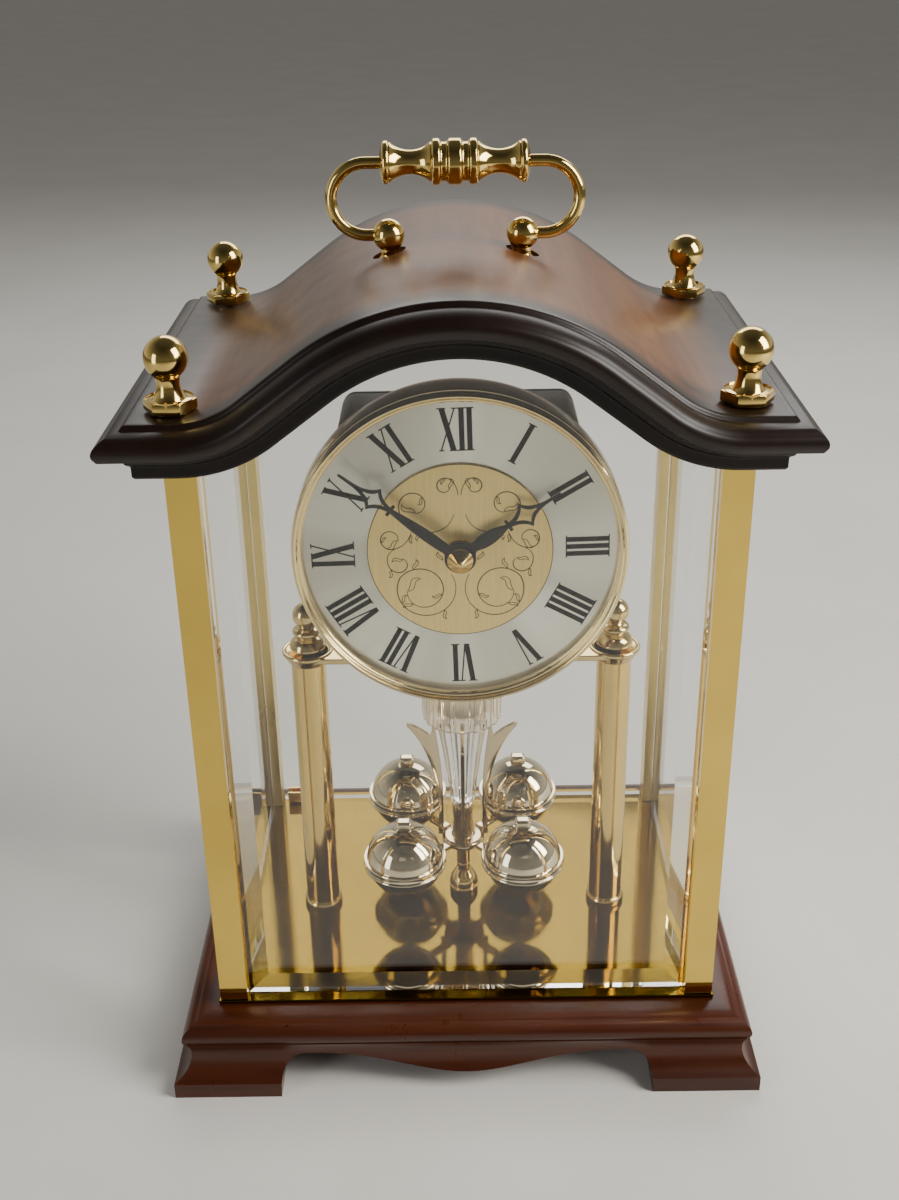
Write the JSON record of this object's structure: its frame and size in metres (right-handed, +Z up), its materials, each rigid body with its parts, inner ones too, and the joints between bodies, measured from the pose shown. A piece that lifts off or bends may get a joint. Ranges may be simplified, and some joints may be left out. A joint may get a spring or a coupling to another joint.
{
  "type": "anniversary clock",
  "caption": "Glazed case with an arched wooden roof and brass posts, holding a round dial above a turning ball pendulum.",
  "frame": {"origin": "middle of the underside of the base, on the surface the clock stands on", "axes": "+Z up, the dial and front glass face -Y, +X to the right seen from the front"},
  "size_m": [0.214, 0.1686, 0.3243],
  "materials": {
    "mahogany": "satin lacquer",
    "backing_board": "plain",
    "polished_brass": "polished and lacquered",
    "clear_glass": "clear, bevelled",
    "silvered_dial": "satin silvered",
    "gilt_disc": "satin gilt",
    "black_hands": "satin black",
    "steel": "plain",
    "champagne_plate": "bright champagne plating",
    "clear_acrylic": "clear, fluted",
    "movement_plastic": "satin",
    "knob_plastic": "satin",
    "cell_jacket": "gloss, unmarked",
    "circuit_laminate": "satin"
  },
  "bodies": {
    "case": {"base_frame": "mahogany", "base_board": "backing_board", "floor_plate": "polished_brass", "post_front_left": "polished_brass", "post_front_right": "polished_brass", "post_rear_right": "polished_brass", "post_rear_left": "polished_brass", "tie_bolt_front_left": "steel", "tie_bolt_front_right": "steel", "tie_bolt_rear_right": "steel", "tie_bolt_rear_left": "steel", "column_bolt_left": "steel", "column_bolt_right": "steel", "roof_frieze": "mahogany", "roof_cap": "mahogany", "finial_front_left": "polished_brass", "finial_front_right": "polished_brass", "finial_rear_right": "polished_brass", "finial_rear_left": "polished_brass", "handle_post_left": "polished_brass", "handle_post_right": "polished_brass", "glass_front": "clear_glass", "glass_left": "clear_glass", "glass_right": "clear_glass", "column_left": "polished_brass", "column_right": "polished_brass", "bridge_plate": "polished_brass", "column_finial_left": "polished_brass", "column_finial_right": "polished_brass", "guide_cup": "polished_brass", "dial_drum": "polished_brass", "dial_bezel": "polished_brass", "dial_plate": "silvered_dial", "dial_centre_disc": "gilt_disc", "hand_bush": "polished_brass", "movement_case": "movement_plastic", "movement_cover": "movement_plastic", "battery": "cell_jacket", "circuit_board": "circuit_laminate", "drive_housing": "clear_acrylic"},
    "handle": {"handle_bail": "polished_brass", "handle_grip": "polished_brass"},
    "door": {"door_glass": "clear_glass", "door_clip_lower": "polished_brass", "door_clip_upper": "polished_brass", "door_knob": "polished_brass"},
    "minute_hand": {"minute_hand": "black_hands", "hand_nut": "polished_brass", "centre_wheel": "polished_brass"},
    "hour_hand": {"hour_hand": "black_hands"},
    "set_knob": {"set_knob": "knob_plastic"},
    "pendulum": {"pendulum_crown": "clear_acrylic", "suspension_hook": "steel", "pendulum_vanes": "champagne_plate", "pendulum_hub": "champagne_plate", "pendulum_rod": "polished_brass", "pendulum_ball_1": "champagne_plate", "pendulum_ball_2": "champagne_plate", "pendulum_ball_3": "champagne_plate", "pendulum_ball_4": "champagne_plate"}
  },
  "joints": [
    {"name": "handle_swing", "type": "hinge", "parent": "case", "child": "handle", "pos_m": [0, 0, 0.294], "axis": [1, 0, 0], "range_deg": [-76, 76]},
    {"name": "door_hinge", "type": "hinge", "parent": "case", "child": "door", "pos_m": [-0.076, 0.062, 0.1345], "axis": [0, 0, 1], "range_deg": [0, 100]},
    {"name": "minute_turn", "type": "hinge", "parent": "case", "child": "minute_hand", "pos_m": [0, -0.0404, 0.1954], "axis": [0, 1, 0], "continuous": true},
    {"name": "hour_turn", "type": "hinge", "parent": "case", "child": "hour_hand", "pos_m": [0, -0.038, 0.1954], "axis": [0, 1, 0], "continuous": true},
    {"name": "knob_turn", "type": "hinge", "parent": "case", "child": "set_knob", "pos_m": [0.0203, 0.0096, 0.1954], "axis": [0, 1, 0], "continuous": true},
    {"name": "pendulum_turn", "type": "hinge", "parent": "case", "child": "pendulum", "pos_m": [0, -0.001, 0.15], "axis": [0, 0, 1], "range_deg": [-135, 135]}
  ],
  "couplings": [
    {"joint": "hour_turn", "follows": "minute_turn", "ratio": 0.083333},
    {"joint": "knob_turn", "follows": "minute_turn", "ratio": -1.5}
  ]
}
